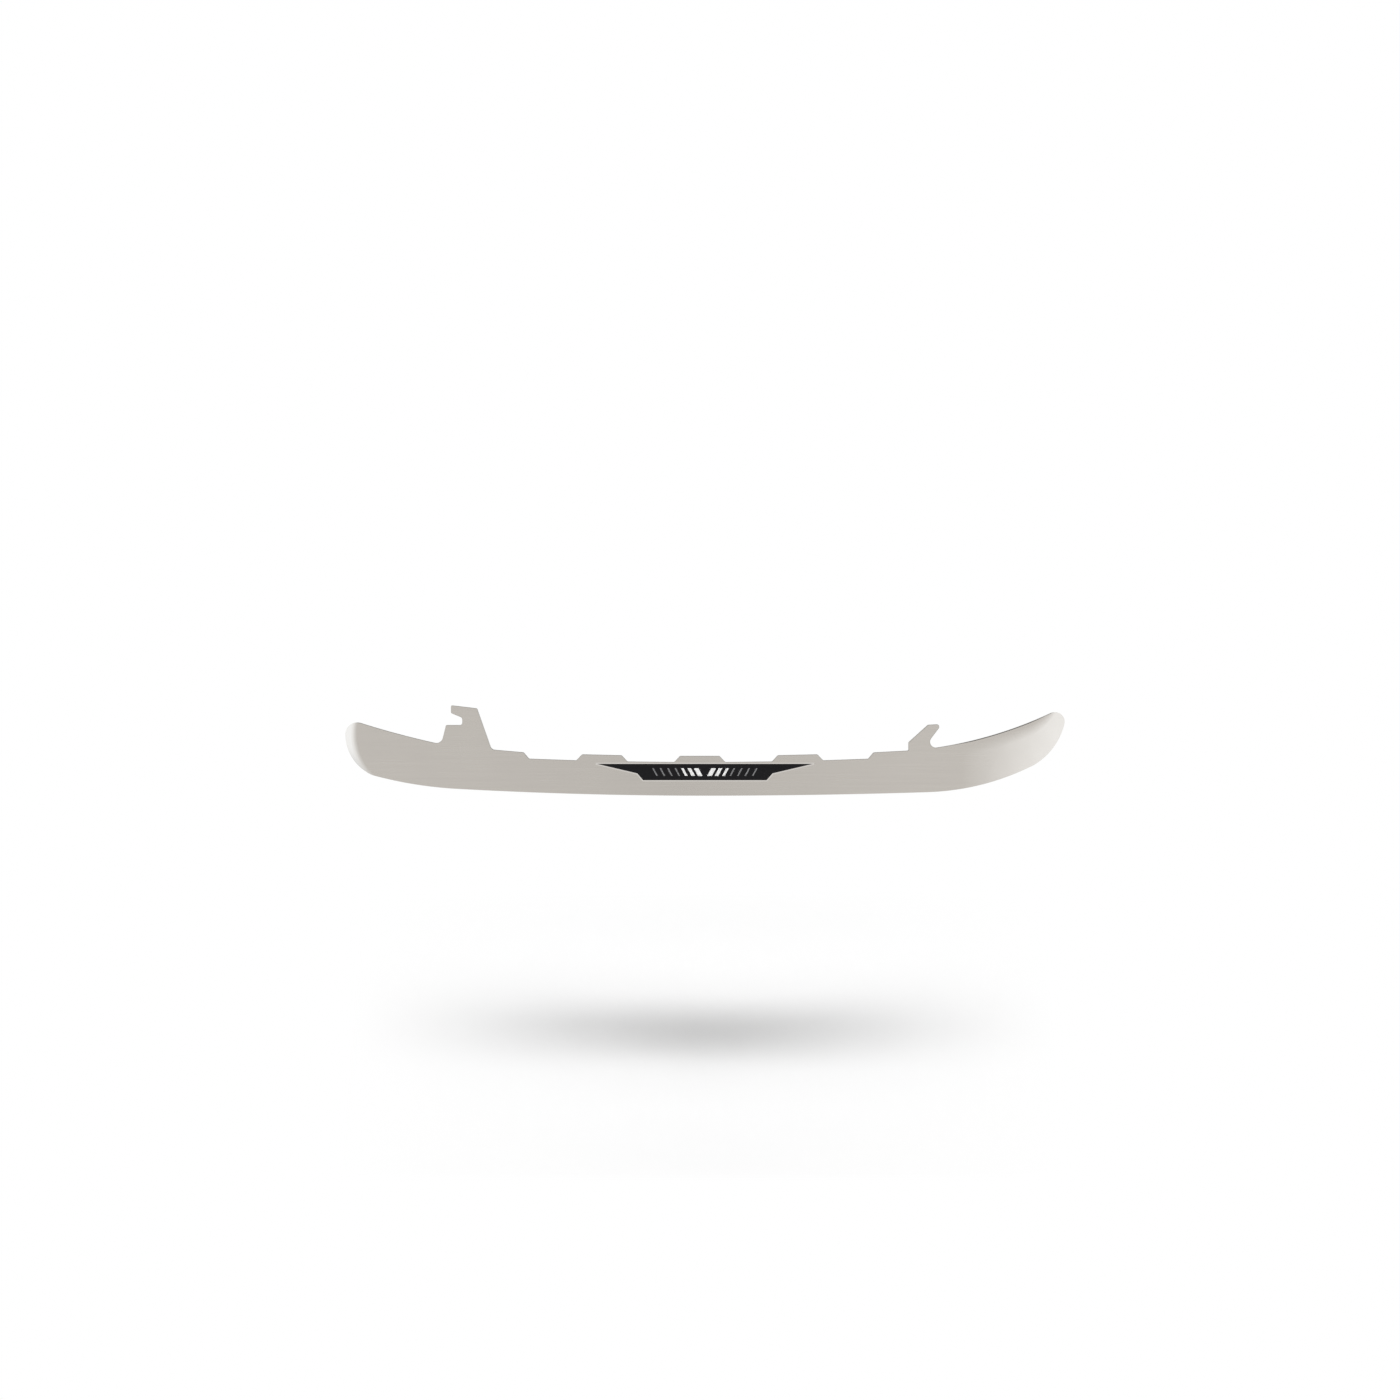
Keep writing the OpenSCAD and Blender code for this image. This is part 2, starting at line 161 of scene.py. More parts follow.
# The walls turn into the ceiling between these heights of a direction.
CEILING_WAY = (0.35, 0.75)
# Width of the camera's sensor in millimetres
SENSOR_WIDTH = 36.0
# Point on the blade that the lamps face
LAMP_TARGET = (0.0, 0.0, 0.015)
# Watts for each square metre of a lamp's width times height, at a glow of 1
GLOW_POWER = 4.0


class Lamp(NamedTuple):
    """A soft lamp, placed round the blade by degrees and metres: 0 is in front, and 90 at the toe's end.

    Metal mirrors a card, whose glow is how much brighter than the walls it looks. Other lamps light
    only what isn't glossy."""

    name: str
    azimuth: float
    elevation: float
    distance: float
    size: tuple
    glow: float
    card: bool = False


CARD = {"elevation": -6.0, "distance": 1.1, "size": (0.75, 0.70), "glow": 0.25, "card": True}
KEY = {"azimuth": 0.0, "elevation": 48.0, "distance": 2.5}
LAMPS = (
    Lamp("front_toe_card", azimuth=42.0, **CARD),
    Lamp("front_heel_card", azimuth=-42.0, **CARD),
    Lamp("back_toe_card", azimuth=138.0, **CARD),
    Lamp("back_heel_card", azimuth=222.0, **CARD),
    Lamp("key", size=(3.0, 0.38), glow=10.9, **KEY),
    Lamp("soft_key", size=(3.0, 0.90), glow=2.1, **KEY),
    Lamp("fill", azimuth=180.0, elevation=42.0, distance=2.5, size=(1.0, 0.8), glow=7.3),
)


def length(name, description, default):
    """A size in metres."""
    return FloatProperty(name=name, description=description, default=default,
                         min=0.0, precision=5, unit="LENGTH")


def place(name, description, default):
    """A point in metres."""
    return FloatVectorProperty(name=name, description=description, default=default,
                               size=3, precision=5, subtype="TRANSLATION", unit="LENGTH")


def direction(name, description, default):
    """A direction, whose length counts."""
    return FloatVectorProperty(name=name, description=description, default=default, size=3, subtype="XYZ")


def angle(name, description, default):
    """An angle, given in degrees."""
    return FloatProperty(name=name, description=description, default=radians(default), subtype="ANGLE")


def number(name, description, default):
    """A plain number."""
    return FloatProperty(name=name, description=description, default=default, min=0.0, precision=4)


def colour(name, description, default):
    """A colour in linear values."""
    return FloatVectorProperty(name=name, description=description, default=(*default, 1.0),
                               size=4, min=0.0, max=1.0, subtype="COLOR")


class RunnerSteel(PropertyGroup):
    """Sizes and colours of the steel's edges and ground places."""

    edge_break: length("Edge break", "Width of the broken edge round the upper outline", 0.0001)
    toe_edge_break: length("Toe edge break", "Width of the broken edge on top of the toe", 0.0003)
    toe_edge_way: direction("Toe edge way", "Direction in which that edge break widens", (0.3, 0.0, -0.95))
    hollow_radius: length("Hollow radius", "Radius of the hollow along the running edge", 0.0127)
    hollow_lift: length("Hollow lift", "Height of the packed hollow's crest above its two edges", 0.0000815)
    toe_centre: place("Toe patch centre", "Centre of the ground patch on the toe", (0.147, 0.0, -0.008))
    toe_radius: length("Toe patch radius", "Radius of the ground patch that thins the toe", 0.0412)
    toe_rim_slope: number("Toe rim slope", "Slope at the rim of the toe's patch", 0.0195)
    toe_growth: number("Toe growth", "Growth of that slope for each metre inwards", 4.9)
    top_centre: place("Toe top centre", "Centre of the toe's concave top edge", (0.06585, 0.0, 0.17989))
    top_radius: length("Toe top radius", "Radius of the toe's concave top edge", 0.163)
    heel_centre: place("Heel bevel centre", "Centre of the bevel round the heel", (-0.1134, 0.0, 0.024))
    heel_radius: length("Heel bevel radius", "Radius of the inner edge of the heel's bevel", 0.0220)
    heel_roll: length("Heel bevel roll", "Width over which the face rolls into the heel's bevel", 0.0026)
    heel_reach: length("Heel bevel reach", "Radius that the heel's bevel is ground out to", 0.0286)
    heel_angle: angle("Heel bevel angle", "Slope of the heel's bevel against the face", 13.0)
    face: colour("Face", "Satin ground faces, in the middle of the blade", (0.501, 0.473, 0.437))
    # The toe's colour is lighter than the face's: partly buffing, partly a painted highlight standing in for
    # its reflections.
    toe: colour("Toe", "Buffed nose of the toe", (0.835, 0.812, 0.778))
    # The heel bevel's colour is lighter than the face's: partly its finer grind, partly a painted
    # reflection.
    heel: colour("Heel", "Finely ground heel bevel", (0.690, 0.685, 0.670))
    edge: colour("Edge", "Stamped and tumbled edges", (0.430, 0.408, 0.380))
    hollow: colour("Hollow", "Freshly ground running edge", (0.600, 0.585, 0.560))


class RunnerLabels(PropertyGroup):
    """Colours of the printed labels."""

    film: colour("Film", "Clear film on the steel, a line round the print", (0.640, 0.612, 0.578))
    ink: colour("Black", "Printed panel", (0.0060, 0.0058, 0.0068))
    grey_bars: colour("Grey", "Thin printed bars", (0.170, 0.170, 0.175))
    white_bars: colour("White", "Wide printed bars", (0.740, 0.740, 0.735))


class RunnerStage(PropertyGroup):
    """Camera, floor and light."""

    lens: number("Lens", "Focal length in millimetres, on a sensor 36 mm wide", 70.0)
    frame_width: length("Frame width", "Width of the picture at the blade", 0.5454)
    aim: place("Aim", "Point that the camera looks at", (-0.0019, 0.0, 0.03725))
    floor_drop: length("Floor drop", "Height of the blade above the front of the floor", 0.160)
    rise_start: length("Rise start", "Distance behind the blade at which the floor starts to rise", 0.0513)
    rise_run: length("Rise run", "Depth of the floor's rise", 0.100)
    rise: length("Rise", "Height of the floor's rise, which opens the shadow to the camera", 0.112)
    floor: colour("Floor", "Floor round the shadow", (0.95, 0.95, 0.95))
    surround: colour("Surround", "Studio walls and the floor's far part", (1.0, 1.0, 1.0))
    ceiling: colour("Ceiling", "Studio ceiling", (0.34, 0.34, 0.34))
    ambient: number("Ambient", "Strength of the studio's light on what isn't glossy", 0.06)


class Wire:
    """A node's socket that takes part in Python expressions, each of which adds its Math node."""

    def __init__(self, tree, socket=None):
        self.tree = tree
        self.socket = socket

    def node(self, kind, settings=None, inputs=None, out=0):
        """Adds a node of a kind, sets it up, feeds its sockets and returns one of its outputs."""
        made = self.tree.nodes.new(kind)
        for name, value in (settings or {}).items():
            if name == "stops":
                ramp = made.color_ramp.elements
                for index, (position, shade) in enumerate(value):
                    stop = ramp[index] if index < len(ramp) else ramp.new(position)
                    stop.position = position
                    stop.color = shade
            else:
                setattr(made, name, value)
        for name, value in (inputs or {}).items():
            if isinstance(value, Wire):
                self.tree.links.new(made.inputs[name], value.socket)
            else:
                made.inputs[name].default_value = value
        return Wire(self.tree, made.outputs[out])

    def maths(self, operation, *values):
        """Adds a Math node on values and wires."""
        return self.node("ShaderNodeMath", {"operation": operation}, dict(enumerate(values)))

    def __add__(self, other):
        return self.maths("ADD", self, other)

    def __sub__(self, other):
        return self.maths("SUBTRACT", self, other)

    def __rsub__(self, other):
        return self.maths("SUBTRACT", other, self)

    def __mul__(self, other):
        return self.maths("MULTIPLY", self, other)

    def __truediv__(self, other):
        return self.maths("DIVIDE", self, other)

    __radd__ = __add__
    __rmul__ = __mul__

    def clamped(self):
        """The value, held between 0 and 1."""
        return self.node("ShaderNodeClamp", None, {"Value": self})

    def blend(self, low, high):
        """A colour that goes from low to high as this value goes from 0 to 1."""
        return self.node("ShaderNodeMix", {"data_type": "RGBA"},
                         {MIX_FACTOR: self, MIX_LOW: low, MIX_HIGH: high}, MIX_RESULT)


class Grain(NamedTuple):
    """A noise, and how much it moves a surface's tone, roughness, height and coat."""

    noise: Wire
    tone: float = 0.0
    roughness: float = 0.0
    height: float = 0.0
    coat: float = 0.0


def moved(middle, grains, effect):
    """A value that grains move round its middle, each by how much it has of an effect."""
    for grain in grains:
        weight = getattr(grain, effect)
        if weight:
            middle = middle + weight * (grain.noise - NOISE_MIDDLE)
    return middle


def shaded(tone, factor):
    """A colour made darker or lighter."""
    return (*(min(1.0, channel * factor) for channel in tone[:3]), 1.0)


def object_place(wire):
    """Object coordinates."""
    return wire.node("ShaderNodeTexCoord", None, None, "Object")


def streaks(wire, point, fineness, detail=3.0):
    """Noise from 0 to 1, drawn out along the axes on which it is less fine."""
    mapped = wire.node("ShaderNodeMapping", None, {"Vector": point, "Scale": fineness})
    return wire.node("ShaderNodeTexNoise", None, {"Vector": mapped, "Scale": 1.0, "Detail": detail})


def bumped(wire, height, strength, distance):
    """Normal that follows a height."""
    return wire.node("ShaderNodeBump", None, {"Height": height, "Strength": strength, "Distance": distance})


def textured(wire, tone, grains, spread, roughness, bump, depth=RELIEF, metallic=1.0):
    """Sockets of a surface whose tone, roughness and relief follow its grains."""
    shade = moved(NOISE_MIDDLE, grains, "tone").clamped()
    return {
        "Base Color": shade.blend(shaded(tone, 1.0 - spread), shaded(tone, 1.0 + spread)),
        "Metallic": metallic,
        "Roughness": moved(roughness, grains, "roughness"),
        "Normal": bumped(wire, moved(0.0, grains, "height"), bump, depth),
    }


def finish(name, build, group):
    """A new material whose Principled sockets get what a builder makes of a group of properties."""
    material = bpy.data.materials.new(name)
    material.use_nodes = True
    tree = material.node_tree
    shader = tree.nodes["Principled BSDF"]
    for socket, value in build(Wire(tree), group).items():
        if isinstance(value, Wire):
            tree.links.new(shader.inputs[socket], value.socket)
        else:
            shader.inputs[socket].default_value = value
    return material


def reach_from(wire, point, centre):
    """Distance from a centre, seen from the side."""
    flat = wire.node("ShaderNodeVectorMath", {"operation": "MULTIPLY"}, {0: point, 1: (1.0, 0.0, 1.0)})
    return wire.node("ShaderNodeVectorMath", {"operation": "DISTANCE"}, {0: flat, 1: centre}, "Value")


def share_of_way(wire, point, way):
    """Share of a way along the blade that lies behind a point."""
    along = wire.node("ShaderNodeSeparateXYZ", None, {"Vector": point}, "X")
    return ((along - way[0]) / (way[1] - way[0])).clamped()


def toe_buff_and_highlight(wire, steel, point):
    """How far the toe is buffed and lit by a painted highlight: more towards its nose, and less along its
    top edge.
    """
    below = reach_from(wire, point, steel.top_centre) - steel.top_radius
    nose = wire.maths("POWER", share_of_way(wire, point, TOE_RIM_WAY), TOE_RIM_POWER)
    rim = TOE_RIM - TOE_RIM_DROP * nose
    return share_of_way(wire, point, TOE_SHINE_WAY) * ((below - rim) / TOE_RIM_BLEND).clamped()


def satin_face(wire, steel):
    """Flat faces: fine grinding lines along the blade, with faint longer bands, buffed and lit by a painted
    highlight at the toe.
    """
    point = object_place(wire)
    grains = (
        Grain(streaks(wire, point, GRINDING_LINES), tone=0.9, roughness=0.10, height=1.0),
        Grain(streaks(wire, point, LONG_BANDS), tone=0.3, height=0.4),
        Grain(streaks(wire, point, FACE_CLOUDS, detail=2.0), tone=0.25, roughness=0.06),
    )
    satin = textured(wire, steel.face, grains, spread=0.08, roughness=0.25, bump=0.08)
    # Painted reflection: the face's colour is lighter towards both ends.
    rise = (1.0 + TOE_RISE * share_of_way(wire, point, TOE_RISE_WAY)
            + HEEL_RISE * share_of_way(wire, point, HEEL_RISE_WAY))
    lifted = wire.node("ShaderNodeVectorMath", {"operation": "SCALE"},
                       {0: satin["Base Color"], "Scale": rise})
    # The toe blends into its lighter colour: partly buffing, partly a painted highlight.
    return {**satin, "Base Color": toe_buff_and_highlight(wire, steel, point).blend(lifted, steel.toe)}


def ground_round(wire, point, arm, shine, dull, polish_and_highlight):
    """A ground place: fine lines at an arm's length round its centre, dull, or buffed and lit by a painted
    highlight, as its shine says.
    """
    rings = wire.node("ShaderNodeTexNoise", {"noise_dimensions": "1D"},
                      {"W": arm, "Scale": RING_LINES, "Detail": 3.0})
    grains = (
        Grain(rings, tone=0.16, roughness=0.08),
        Grain(streaks(wire, point, GROUND_CLOUDS, detail=2.0), tone=0.12, roughness=0.04),
    )
    return {
        "Base Color": moved(shine, grains, "tone").clamped().blend(dull, polish_and_highlight),
        "Metallic": 1.0,
        "Roughness": moved(GROUND_ROUGHNESS - POLISH_GAIN * shine, grains, "roughness"),
        "Normal": bumped(wire, rings, strength=0.08, distance=0.000008),
    }


def ground_toe(wire, steel):
    """Dished toe, ground round the patch's centre, buffed and lit by a painted highlight towards its nose.
    """
    point = object_place(wire)
    arm = reach_from(wire, point, steel.toe_centre)
    dull = shaded(steel.face, 1.0 + TOE_RISE)
    return ground_round(wire, point, arm, toe_buff_and_highlight(wire, steel, point), dull, steel.toe)


def ground_heel(wire, steel):
    """Heel bevel, which brightens as the face rolls into it: partly its finer grind, partly painted
    reflection.
    """
    point = object_place(wire)
    arm = reach_from(wire, point, steel.heel_centre)
    shine = ((arm - steel.heel_radius) / steel.heel_roll).clamped()
    return ground_round(wire, point, arm, shine, shaded(steel.face, 1.0 + HEEL_RISE), steel.heel)


def stamped_edge(wire, steel):
    """Upper outline: shear marks across the thickness, softened by tumbling."""
    point = object_place(wire)
    grains = (
        Grain(streaks(wire, point, SHEAR_MARKS), tone=0.9, roughness=0.16, height=1.0),
        Grain(streaks(wire, point, TUMBLED_PITS, detail=4.0), tone=0.6, roughness=0.12, height=0.5),
    )
    return textured(wire, steel.edge, grains, spread=0.14, roughness=0.36, bump=0.25, depth=0.00002)


def ground_hollow(wire, steel):
    """Running edge: long bright wheel marks."""
    marks = streaks(wire, object_place(wire), WHEEL_MARKS, detail=4.0)
    grains = (Grain(marks, tone=0.8, roughness=0.12, height=1.0),)
    return textured(wire, steel.hollow, grains, spread=0.1, roughness=0.2, bump=0.2)


def clear_film(wire, labels):
    """Clear film on the steel: the steel's own fine lines, under a smooth coat."""
    point = object_place(wire)
    grains = (
        Grain(streaks(wire, point, FILM_LINES), tone=0.5, roughness=0.10),
        Grain(streaks(wire, point, PRINT_MOTTLE), tone=0.6, roughness=0.06, height=1.0, coat=0.2),
    )
    return {
        **textured(wire, labels.film, grains, spread=0.05, roughness=0.30, bump=0.06),
        "Coat Weight": moved(0.35, grains, "coat"),
        "Coat Roughness": 0.18,
    }


def printed_ink(wire, tone, spread, specular):
    """Print: faint mottle, and the fine texture of cured ink."""
    point = object_place(wire)
    grains = (
        Grain(streaks(wire, point, PRINT_MOTTLE), tone=1.2, roughness=0.10),
        Grain(streaks(wire, point, INK_PEEL, detail=2.0), tone=0.6, roughness=0.06, height=1.0),
    )
    return {
        **textured(wire, tone, grains, spread, roughness=0.44, bump=0.08, metallic=0.0),
        "Specular IOR Level": specular,
    }


def black_ink(wire, labels):
    """Ink of the printed panel."""
    return printed_ink(wire, labels.ink, spread=0.12, specular=0.12)


def grey_ink(wire, labels):
    """Ink of the thin bars."""
    return printed_ink(wire, labels.grey_bars, spread=0.05, specular=0.18)


def white_ink(wire, labels):
    """Ink of the wide bars."""
    return printed_ink(wire, labels.white_bars, spread=0.03, specular=0.22)


@contextmanager
def editing(obj):
    """Edit mode on one object alone, with all of it selected."""
    bpy.ops.object.select_all(action="DESELECT")
    obj.select_set(True)
    bpy.context.view_layer.objects.active = obj
    bpy.ops.object.mode_set(mode="EDIT")
    bpy.ops.mesh.select_all(action="SELECT")
    yield
    bpy.ops.object.mode_set(mode="OBJECT")


def pick(obj, kind, test):
    """Selects those vertices, edges or faces of the edited object that pass a test."""
    bpy.ops.mesh.select_all(action="DESELECT")
    bpy.ops.mesh.select_mode(type=kind)
    mesh = bmesh.from_edit_mesh(obj.data)
    mesh.normal_update()
    for item in {"VERT": mesh.verts, "EDGE": mesh.edges, "FACE": mesh.faces}[kind]:
        item.select_set(bool(test(item)))
    mesh.select_flush_mode()
    bmesh.update_edit_mesh(obj.data)


def applied(obj, kind, **settings):
    """Adds a modifier to an object and applies it."""
    bpy.ops.object.select_all(action="DESELECT")
    obj.select_set(True)
    bpy.context.view_layer.objects.active = obj
    modifier = obj.modifiers.new(kind.lower(), kind)
    for name, value in settings.items():
        setattr(modifier, name, value)
    bpy.ops.object.modifier_apply(modifier=modifier.name)


def plate(name):
    """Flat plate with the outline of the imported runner, from its section."""
    obj = bpy.data.objects.new(name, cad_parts["runner"].data.copy())
    obj.data.name = name
    obj.data.materials.clear()
    bpy.context.scene.collection.objects.link(obj)
    with editing(obj):
        bpy.ops.mesh.remove_doubles(threshold=SAME_POINT)
        bpy.ops.mesh.bisect(plane_co=(0.0, SECTION_Y, 0.0), plane_no=(0.0, 1.0, 0.0),
                            use_fill=True, clear_inner=True, clear_outer=True)
        bpy.ops.mesh.select_all(action="SELECT")
        bpy.ops.mesh.remove_doubles(threshold=SHORTEST_STEP)
        bpy.ops.transform.translate(value=(0.0, -HALF_STEEL - SECTION_Y, 0.0))
        bpy.ops.mesh.extrude_region_move(TRANSFORM_OT_translate={"value": (0.0, 2 * HALF_STEEL, 0.0)})
        bpy.ops.mesh.select_all(action="SELECT")
        bpy.ops.mesh.dissolve_limited(angle_limit=SAME_PLANE)
        bpy.ops.mesh.normals_make_consistent(inside=False)
    return obj


def walls_at(vert):
    """The walls of the plate that meet at a vertex."""
    return [face for face in vert.link_faces if abs(face.normal.y) < WALL_TURN]


def upper(vert):
    """Whether a vertex is on the post or the hook, where walls that face down aren't the running edge."""
    return vert.co.z > UPPER_HEIGHT and abs(vert.co.x) < UPPER_REACH


def stamped_wall(face):
    """Whether a face is a wall or a broken edge."""
    return abs(face.normal.y) < STAMPED_TURN


def running_wall(face):
    """Whether a face is part of the running edge, which goes up round the heel and the toe."""
    return (face.normal.z < RUNNING_TURN and abs(face.normal.y) < HOLLOW_TURN
            and not any(upper(vert) for vert in face.verts))


def square_wall(face):
    """Whether a face is on the stretch of the running edge that the hollow is still to be ground into."""
    return face.normal.z < GROUND_TURN and abs(face.normal.y) < SQUARE_TURN


def on_rim(vert, side):
    """Whether a vertex is on the walls' rim of one face, where its edge gets broken."""
    walls = walls_at(vert)
    within = BROKEN_EDGE_SPAN[0] < vert.co.x < BROKEN_EDGE_SPAN[1]
    off_ice = upper(vert) or all(wall.normal.z > RUNNING_TURN for wall in walls)
    return bool(walls) and vert.co.y * side > 0.0 and within and off_ice


def on_toe_top(vert, side, span):
    """Whether a vertex is along the toe's top edge on one face, within a span."""
    return vert.co.y * side > 0.0 and vert.co.z > UPPER_HEIGHT and span[0] < vert.co.x < span[1]


def between_wall_and_face(edge):
    """Whether a wall and a face meet at an edge."""
    return len({face.material_index in WALL_FINISHES for face in edge.link_faces}) > 1


def break_edges(obj, steel):
    """Chamfers the upper outline, widest on top of the toe, and leaves the running edge sharp."""
    step = (steel.toe_edge_break - steel.edge_break) / len(TOE_EDGE_SPANS)
    for side in (RIGHT, LEFT):
        with editing(obj):
            pick(obj, "FACE", lambda face: face.normal.y * side > FLAT_TURN)
            bpy.ops.mesh.inset(thickness=steel.edge_break, depth=0.0)
            pick(obj, "VERT", lambda vert: on_rim(vert, side))
            bpy.ops.transform.translate(value=(0.0, -side * steel.edge_break, 0.0))
            for span in TOE_EDGE_SPANS:
                pick(obj, "VERT", lambda vert: on_toe_top(vert, side, span) and not walls_at(vert))
                bpy.ops.transform.translate(value=Vector(steel.toe_edge_way) * step)
                pick(obj, "VERT", lambda vert: on_toe_top(vert, side, span) and on_rim(vert, side))
                bpy.ops.transform.translate(value=(0.0, -side * step, 0.0))


def grind_hollow(obj, steel):
    """Brings the running edge down to its true height and presses the hollow into it."""
    def depth(y):
        return sqrt(steel.hollow_radius ** 2 - y ** 2) - sqrt(steel.hollow_radius ** 2 - HALF_STEEL ** 2)

    with editing(obj):
        pick(obj, "FACE", square_wall)
        bpy.ops.transform.translate(value=(0.0, 0.0, -steel.hollow_lift))
        for line in HOLLOW_LINES:
            pick(obj, "FACE", square_wall)
            bpy.ops.mesh.bisect(plane_co=(0.0, line * HALF_STEEL, 0.0), plane_no=(0.0, 1.0, 0.0))
        for line in HOLLOW_LINES:
            y = line * HALF_STEEL
            pick(obj, "VERT", lambda vert: abs(vert.co.y - y) < SAME_POINT)
            bpy.ops.transform.translate(value=(0.0, 0.0, depth(y)))


def grinding_tool(centre, side, rings):
    """Round tool against one face. Its rings are (radius, depth below the face), from its back inwards."""
    def level(depth):
        return side * (HALF_STEEL - depth)

    radius, depth = rings[0]
    bpy.ops.object.select_all(action="DESELECT")
    bpy.ops.mesh.primitive_circle_add(vertices=TOOL_SIDES, radius=radius, fill_type="NGON",
                                      location=(centre[0], level(depth), centre[2]),
                                      rotation=(pi / 2, 0.0, 0.0))
    tool = bpy.context.object
    bpy.ops.object.transform_apply(location=True, rotation=True, scale=True)
    with editing(tool):
        for next_radius, next_depth in rings[1:]:
            move = (0.0, level(next_depth) - level(depth), 0.0)
            if next_radius == radius:
                bpy.ops.mesh.extrude_region_move(TRANSFORM_OT_translate={"value": move})
            else:
                bpy.ops.mesh.inset(thickness=radius - next_radius, depth=0.0)
                bpy.ops.transform.translate(value=move)
            radius, depth = next_radius, next_depth
        bpy.ops.mesh.select_all(action="SELECT")
        bpy.ops.mesh.normals_make_consistent(inside=False)
    return tool


def grind(obj, tool, material):
    """Takes a tool's shape out of an object, and closes the hairline seams that this can leave."""
    tool.data.materials.append(material)
    applied(obj, "BOOLEAN", operation="DIFFERENCE", solver="EXACT", material_mode="TRANSFER", object=tool)
    bpy.data.objects.remove(tool)
    with editing(obj):
        bpy.ops.mesh.remove_doubles(threshold=SEAM_GAP)
        bpy.ops.mesh.dissolve_degenerate(threshold=SEAM_GAP)


def grind_toe(obj, steel, side, material):
    """Dished patch that thins the toe towards its nose."""
    def dish(inwards):
        return (steel.toe_radius - inwards,
                steel.toe_rim_slope * inwards + steel.toe_growth / 2 * inwards ** 2)

    span = steel.toe_radius * TOE_RING_SHARE
    rings = [(steel.toe_radius, -TOOL_ROOM)]
    rings += [dish(span * i / TOE_RINGS) for i in range(TOE_RINGS + 1)]
    grind(obj, grinding_tool(steel.toe_centre, side, rings), material)


def grind_heel(obj, steel, side, material):
    """Crescent bevel round the heel end, on the heel side of its centre alone."""
    slope, roll, reach = tan(steel.heel_angle), steel.heel_roll, steel.heel_reach
    rings = [(reach, -TOOL_ROOM), (reach, slope * (reach - steel.heel_radius - roll / 2))]
    rings += [(steel.heel_radius + roll * share, slope * roll / 2 * share ** 2)
              for share in HEEL_ROLL_STEPS]
    rings += [(steel.heel_radius, -TOOL_ROOM / 2)]
    tool = grinding_tool(steel.heel_centre, side, rings)
    with editing(tool):
        bpy.ops.mesh.bisect(plane_co=steel.heel_centre, plane_no=(1.0, 0.0, 0.0),
                            use_fill=True, clear_outer=True)
    grind(obj, tool, material)


def dress(obj, finishes):
    """Gives the faces that pass each test their own material. The first material takes the rest."""
    for index, (material, test) in enumerate(finishes):
        obj.data.materials.append(material)
        if test is None:
            continue
        with editing(obj):
            pick(obj, "FACE", test)
            obj.active_material_index = index
            bpy.ops.object.material_slot_assign()


class RUNNER_OT_steel(Operator):
    """Model the steel: a plate with broken edges, a hollow, and the ground toe and heel"""

    bl_idname = "runner.steel"
    bl_label = "Steel Blade"

    def execute(self, context):
        steel = context.scene.runner_steel
        obj = plate("runner_steel")
        break_edges(obj, steel)
        grind_hollow(obj, steel)
        dress(obj, (
            (finish("satin_face", satin_face, steel), None),
            (finish("stamped_edge", stamped_edge, steel), stamped_wall),
            (finish("ground_hollow", ground_hollow, steel), running_wall),
        ))
        toe_finish = finish("ground_toe", ground_toe, steel)
        heel_finish = finish("ground_heel", ground_heel, steel)
        for side in (RIGHT, LEFT):
            grind_toe(obj, steel, side, toe_finish)
            grind_heel(obj, steel, side, heel_finish)
        bpy.ops.object.shade_smooth_by_angle(angle=CRISP_EDGE)
        with editing(obj):
            pick(obj, "EDGE", between_wall_and_face)
            bpy.ops.mesh.mark_sharp()
        applied(obj, "WEIGHTED_NORMAL", mode="FACE_AREA", weight=100, keep_sharp=True)
        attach(obj, "root")
        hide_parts("runner")
        return {"FINISHED"}


class RUNNER_OT_labels(Operator):
    """Print the labels on both faces"""

    bl_idname = "runner.labels"
    bl_label = "Printed Labels"

    def execute(self, context):
        labels = context.scene.runner_labels
        for layer, look in (("film", clear_film), ("ink", black_ink),
                            ("grey_bars", grey_ink), ("white_bars", white_ink)):
            material = finish("label_" + layer, look, labels)
            for side in LABEL_SIDES:
                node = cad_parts[f"label_{layer}_{side}"]
                for slot in node.material_slots:
                    slot.material = material
        return {"FINISHED"}


def hang(lamp):
    """Adds a lamp to the scene, turned towards the blade."""
    turn, lift = radians(lamp.azimuth), radians(lamp.elevation)
    towards = Vector((sin(turn) * cos(lift), -cos(turn) * cos(lift), sin(lift)))
    light = bpy.data.lights.new(lamp.name, "AREA")
    light.shape = "RECTANGLE" if lamp.card else "ELLIPSE"
    light.size, light.size_y = lamp.size
    light.energy = GLOW_POWER * lamp.size[0] * lamp.size[1] * lamp.glow
    obj = bpy.data.objects.new(lamp.name, light)
    obj.location = Vector(LAMP_TARGET) + towards * lamp.distance
    obj.rotation_euler = towards.to_track_quat("Z", "Y").to_euler()
    obj.visible_camera = False
    obj.visible_glossy = lamp.card
    obj.visible_diffuse = not lamp.card
    bpy.context.scene.collection.objects.link(obj)


def seen(wire):
    """1 for what the camera, a reflection or glass shows, and 0 for light on other surfaces."""
    camera, glossy, glass = (wire.node("ShaderNodeLightPath", None, None, f"Is {ray} Ray")
                             for ray in ("Camera", "Glossy", "Transmission"))
    return (camera + glossy + glass).clamped()


def light_world(stage):
    """White walls all round, under a ceiling that is dim in reflections and in the light it gives."""
    world = bpy.data.worlds.new("studio")
    bpy.context.scene.world = world
    world.use_nodes = True
    tree = world.node_tree
    wire = Wire(tree)
    view = wire.node("ShaderNodeTexCoord", None, None, "Generated")
    height = wire.node("ShaderNodeSeparateXYZ", None, {"Vector": view}, "Z")
    wall = tuple(stage.surround)
    stops = tuple(zip(CEILING_WAY, (wall, tuple(stage.ceiling))))
    shade = wire.node("ShaderNodeValToRGB", {"stops": stops}, {"Fac": height})
    straight = wire.node("ShaderNodeLightPath", None, None, "Is Camera Ray")
    strength = stage.ambient + (1.0 - stage.ambient) * seen(wire)
    background = tree.nodes["Background"]
    tree.links.new(background.inputs["Color"], straight.blend(shade, wall).socket)
    tree.links.new(background.inputs["Strength"], strength.socket)


